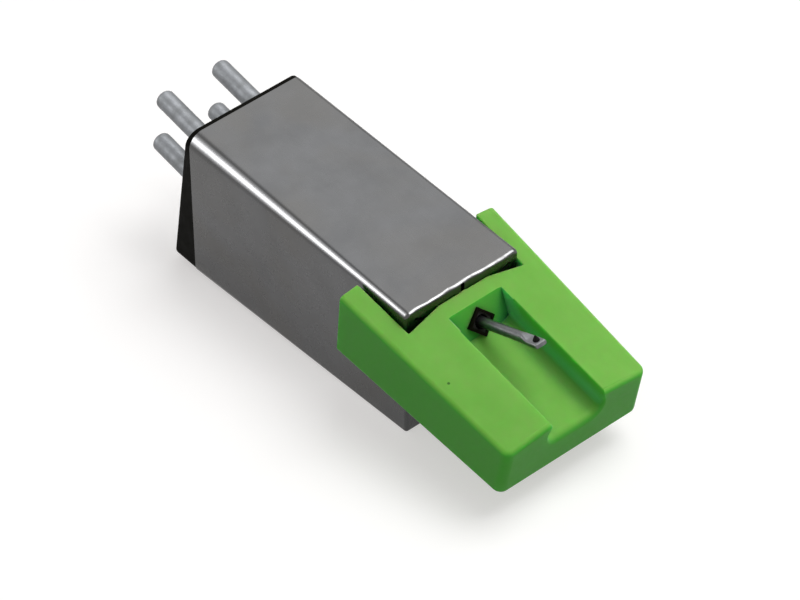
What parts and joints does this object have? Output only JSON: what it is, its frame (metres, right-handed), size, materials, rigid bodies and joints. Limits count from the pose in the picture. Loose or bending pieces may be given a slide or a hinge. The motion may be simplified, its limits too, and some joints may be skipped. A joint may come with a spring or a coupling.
{
  "type": "turntable stylus cartridge",
  "caption": "Phono cartridge: tapered metal shield can, moulded stylus holder that plugs on in front, sprung cantilever with a stylus, and round terminal pins at the rear.",
  "frame": {"origin": "middle of the shield can's flat mounting face", "axes": "+Z out of the mounting face through the cartridge towards the stylus side, -Y towards the stylus, +Y towards the terminal pins"},
  "size_m": [0.0118, 0.0367, 0.0115],
  "materials": {
    "can_metal": "satin grey plated sheet",
    "black_moulding": "smooth black moulding",
    "pin_plating": "bright tin plate over brass",
    "green_moulding": "slightly translucent green moulding",
    "tube_metal": "drawn square tube, blackened",
    "damper_rubber": "soft black rubber",
    "cantilever_alloy": "drawn tube, pressed flat at the end",
    "stylus_stone": "ground and polished stone",
    "magnet_rod": "ground magnet alloy",
    "carrier_moulding": "matt moulding",
    "soft_iron": "annealed soft magnetic alloy",
    "bobbin_moulding": "natural nylon moulding",
    "coil_wire": "fine enamelled copper wire"
  },
  "bodies": {
    "cartridge": {"shield_can": "can_metal", "rear_cap": "black_moulding", "terminal_pin_upper_left": "pin_plating", "terminal_pin_upper_right": "pin_plating", "terminal_pin_lower_left": "pin_plating", "terminal_pin_lower_right": "pin_plating", "core_carrier": "carrier_moulding", "pole_upper_left": "soft_iron", "bobbin_upper_left": "bobbin_moulding", "winding_upper_left": "coil_wire", "lead_upper_left": "coil_wire", "pole_upper_right": "soft_iron", "bobbin_upper_right": "bobbin_moulding", "winding_upper_right": "coil_wire", "lead_upper_right": "coil_wire", "pole_lower_left": "soft_iron", "bobbin_lower_left": "bobbin_moulding", "winding_lower_left": "coil_wire", "lead_lower_left": "coil_wire", "pole_lower_right": "soft_iron", "bobbin_lower_right": "bobbin_moulding", "winding_lower_right": "coil_wire", "lead_lower_right": "coil_wire", "yoke_right_channel": "soft_iron", "yoke_left_channel": "soft_iron"},
    "stylus_unit": {"stylus_holder": "green_moulding", "plug_tube": "tube_metal"},
    "damper_core": {"damper": "damper_rubber"},
    "cantilever_assembly": {"cantilever": "cantilever_alloy", "stylus": "stylus_stone", "magnet": "magnet_rod"}
  },
  "joints": [
    {"name": "stylus_unit_pull", "type": "slide", "parent": "cartridge", "child": "stylus_unit", "axis": [0, -0.9397, 0.342], "range_m": [0, 0.006]},
    {"name": "cantilever_lift", "type": "hinge", "parent": "stylus_unit", "child": "damper_core", "pos_m": [0, -0.01119, 0.00715], "axis": [1, 0, 0], "range_deg": [-3, 3], "stiffness_Nm_per_rad": 0.0018, "deforming": ["damper"]},
    {"name": "cantilever_sway", "type": "hinge", "parent": "damper_core", "child": "cantilever_assembly", "pos_m": [0, -0.01119, 0.00715], "axis": [0, 0.342, 0.9397], "range_deg": [-3, 3], "stiffness_Nm_per_rad": 0.0018, "deforming": ["damper"]}
  ]
}
